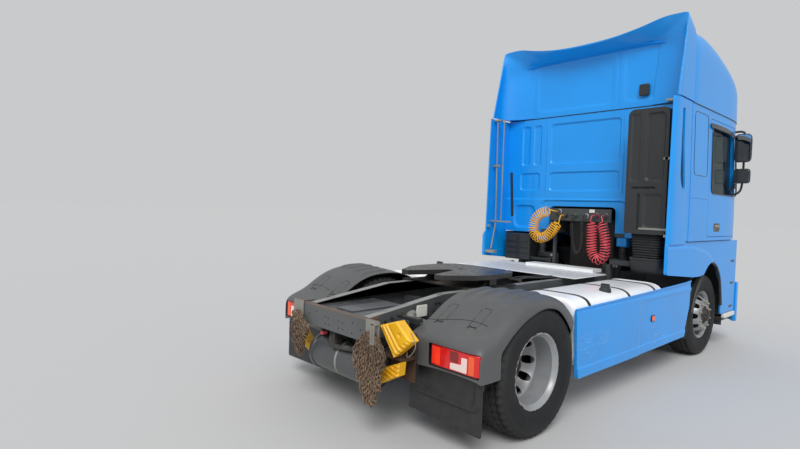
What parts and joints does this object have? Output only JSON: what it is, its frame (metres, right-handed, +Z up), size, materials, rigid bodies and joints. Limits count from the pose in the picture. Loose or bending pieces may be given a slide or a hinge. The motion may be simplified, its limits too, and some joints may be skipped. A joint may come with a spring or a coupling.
{
  "type": "semi truck tractor unit",
  "caption": "Two-axle road tractor with a high-roof sleeper cab, fifth wheel coupling, side skirts and twin rear wheels.",
  "frame": {"origin": "on the ground under the middle of the overall box", "axes": "+X forward, +Y to the vehicle's left, +Z up"},
  "size_m": [6.2864, 2.86, 3.995],
  "materials": {
    "frame_rails": "grey chassis paint, dusty",
    "frame_members": "grey chassis paint, dusty",
    "rear_beam": "grey paint, rust along the upper edge",
    "chain_bundles": "rusty steel chain",
    "wheel_chocks": "yellow plastic",
    "rear_air_tank": "dark grey paint",
    "rear_axle": "grey chassis paint, dusty",
    "air_springs": "matt rubber",
    "front_axle": "grey chassis paint, dusty",
    "engine": "grey cast iron",
    "gearbox": "grey cast iron",
    "fuel_tanks": "bright aluminium",
    "catwalk": "bright aluminium",
    "side_skirts": "blue gloss paint",
    "front_wings": "blue gloss paint",
    "step_boxes": "dark textured plastic",
    "arch_liners": "dark textured plastic",
    "rear_mudguards": "dark textured plastic",
    "mud_flaps": "dark rubber sheet",
    "tail_lamps": "red and amber lamp lens",
    "fifth_wheel_base": "grey chassis paint, dusty",
    "air_filter": "dark textured plastic",
    "battery_box": "dark textured plastic",
    "coupling_panel": "dark textured plastic",
    "cab_supports": "grey chassis paint, dusty",
    "bumper": "blue gloss paint",
    "headlamps": "clear lamp lens",
    "yellow_air_line": "yellow curly air line",
    "red_air_line": "red curly air line",
    "black_lead": "black curly lead",
    "knuckle_left": "grey chassis paint, dusty",
    "knuckle_right": "grey chassis paint, dusty",
    "front_tyre_left": "worn tread, dusty sidewall",
    "front_rim_left": "silver rim",
    "front_tyre_right": "worn tread, dusty sidewall",
    "front_rim_right": "silver rim",
    "rear_tyres_left": "worn tread, dusty sidewall",
    "rear_rims_left": "silver-white paint, light rust at the edge",
    "rear_tyres_right": "worn tread, dusty sidewall",
    "rear_rims_right": "silver-white paint, light rust at the edge",
    "fifth_wheel_plate": "greased cast iron",
    "cab_roof": "blue gloss paint",
    "cab_back_wall": "blue gloss paint",
    "cab_floor": "dark underseal",
    "cab_sides": "blue gloss paint",
    "cab_front": "blue gloss paint",
    "windscreen": "tinted glass",
    "sun_visor": "dark textured plastic",
    "air_deflectors": "blue gloss paint",
    "intake_snorkel": "dark textured plastic",
    "seats": "dark cloth",
    "dashboard": "dark grey plastic",
    "door_left": "blue gloss paint",
    "window_left": "tinted glass",
    "mirrors_left": "dark textured plastic",
    "door_right": "blue gloss paint",
    "window_right": "tinted glass",
    "mirrors_right": "dark textured plastic",
    "grille_lid": "dark textured plastic"
  },
  "bodies": {
    "chassis": {"frame_rails": "frame_rails", "frame_members": "frame_members", "rear_beam": "rear_beam", "chain_bundles": "chain_bundles", "wheel_chocks": "wheel_chocks", "rear_air_tank": "rear_air_tank", "rear_axle": "rear_axle", "air_springs": "air_springs", "front_axle": "front_axle", "engine": "engine", "gearbox": "gearbox", "fuel_tanks": "fuel_tanks", "catwalk": "catwalk", "side_skirts": "side_skirts", "front_wings": "front_wings", "step_boxes": "step_boxes", "arch_liners": "arch_liners", "rear_mudguards": "rear_mudguards", "mud_flaps": "mud_flaps", "tail_lamps": "tail_lamps", "fifth_wheel_base": "fifth_wheel_base", "air_filter": "air_filter", "battery_box": "battery_box", "coupling_panel": "coupling_panel", "cab_supports": "cab_supports", "bumper": "bumper", "headlamps": "headlamps", "yellow_air_line": "yellow_air_line", "red_air_line": "red_air_line", "black_lead": "black_lead"},
    "knuckle_left": {"knuckle_left": "knuckle_left"},
    "knuckle_right": {"knuckle_right": "knuckle_right"},
    "front_wheel_left": {"front_tyre_left": "front_tyre_left", "front_rim_left": "front_rim_left"},
    "front_wheel_right": {"front_tyre_right": "front_tyre_right", "front_rim_right": "front_rim_right"},
    "rear_wheel_left": {"rear_tyres_left": "rear_tyres_left", "rear_rims_left": "rear_rims_left"},
    "rear_wheel_right": {"rear_tyres_right": "rear_tyres_right", "rear_rims_right": "rear_rims_right"},
    "fifth_wheel": {"fifth_wheel_plate": "fifth_wheel_plate"},
    "cab": {"cab_roof": "cab_roof", "cab_back_wall": "cab_back_wall", "cab_floor": "cab_floor", "cab_sides": "cab_sides", "cab_front": "cab_front", "windscreen": "windscreen", "sun_visor": "sun_visor", "air_deflectors": "air_deflectors", "intake_snorkel": "intake_snorkel", "seats": "seats", "dashboard": "dashboard"},
    "door_left": {"door_left": "door_left", "window_left": "window_left", "mirrors_left": "mirrors_left"},
    "door_right": {"door_right": "door_right", "window_right": "window_right", "mirrors_right": "mirrors_right"},
    "grille_lid": {"grille_lid": "grille_lid"}
  },
  "joints": [
    {"name": "steer_left", "type": "hinge", "parent": "chassis", "child": "knuckle_left", "pos_m": [1.76315, 0.9, 0.507], "axis": [0, 0, 1], "range_deg": [-40, 40]},
    {"name": "front_spin_left", "type": "hinge", "parent": "knuckle_left", "child": "front_wheel_left", "pos_m": [1.76315, 1.025, 0.507], "axis": [0, 1, 0], "continuous": true},
    {"name": "rear_spin_left", "type": "hinge", "parent": "chassis", "child": "rear_wheel_left", "pos_m": [-2.03685, 0.9155, 0.507], "axis": [0, 1, 0], "continuous": true},
    {"name": "door_left_swing", "type": "hinge", "parent": "cab", "child": "door_left", "pos_m": [2.69415, 1.166, 2.2], "axis": [0, 0, -1], "range_deg": [0, 75]},
    {"name": "steer_right", "type": "hinge", "parent": "chassis", "child": "knuckle_right", "pos_m": [1.76315, -0.9, 0.507], "axis": [0, 0, 1], "range_deg": [-40, 40]},
    {"name": "front_spin_right", "type": "hinge", "parent": "knuckle_right", "child": "front_wheel_right", "pos_m": [1.76315, -1.025, 0.507], "axis": [0, 1, 0], "continuous": true},
    {"name": "rear_spin_right", "type": "hinge", "parent": "chassis", "child": "rear_wheel_right", "pos_m": [-2.03685, -0.9155, 0.507], "axis": [0, 1, 0], "continuous": true},
    {"name": "door_right_swing", "type": "hinge", "parent": "cab", "child": "door_right", "pos_m": [2.69415, -1.166, 2.2], "axis": [0, 0, 1], "range_deg": [0, 75]},
    {"name": "cab_tilt", "type": "hinge", "parent": "chassis", "child": "cab", "pos_m": [3.02315, 0, 0.98], "axis": [0, 1, 0], "range_deg": [0, 60]},
    {"name": "grille_lid_open", "type": "hinge", "parent": "cab", "child": "grille_lid", "pos_m": [3.11315, 0, 1.876], "axis": [0, -1, 0], "range_deg": [0, 75]},
    {"name": "fifth_wheel_pitch", "type": "hinge", "parent": "chassis", "child": "fifth_wheel", "pos_m": [-1.55685, 0, 1.055], "axis": [0, 1, 0], "range_deg": [-6, 8]}
  ],
  "couplings": [
    {"joint": "steer_right", "follows": "steer_left", "ratio": 1}
  ]
}
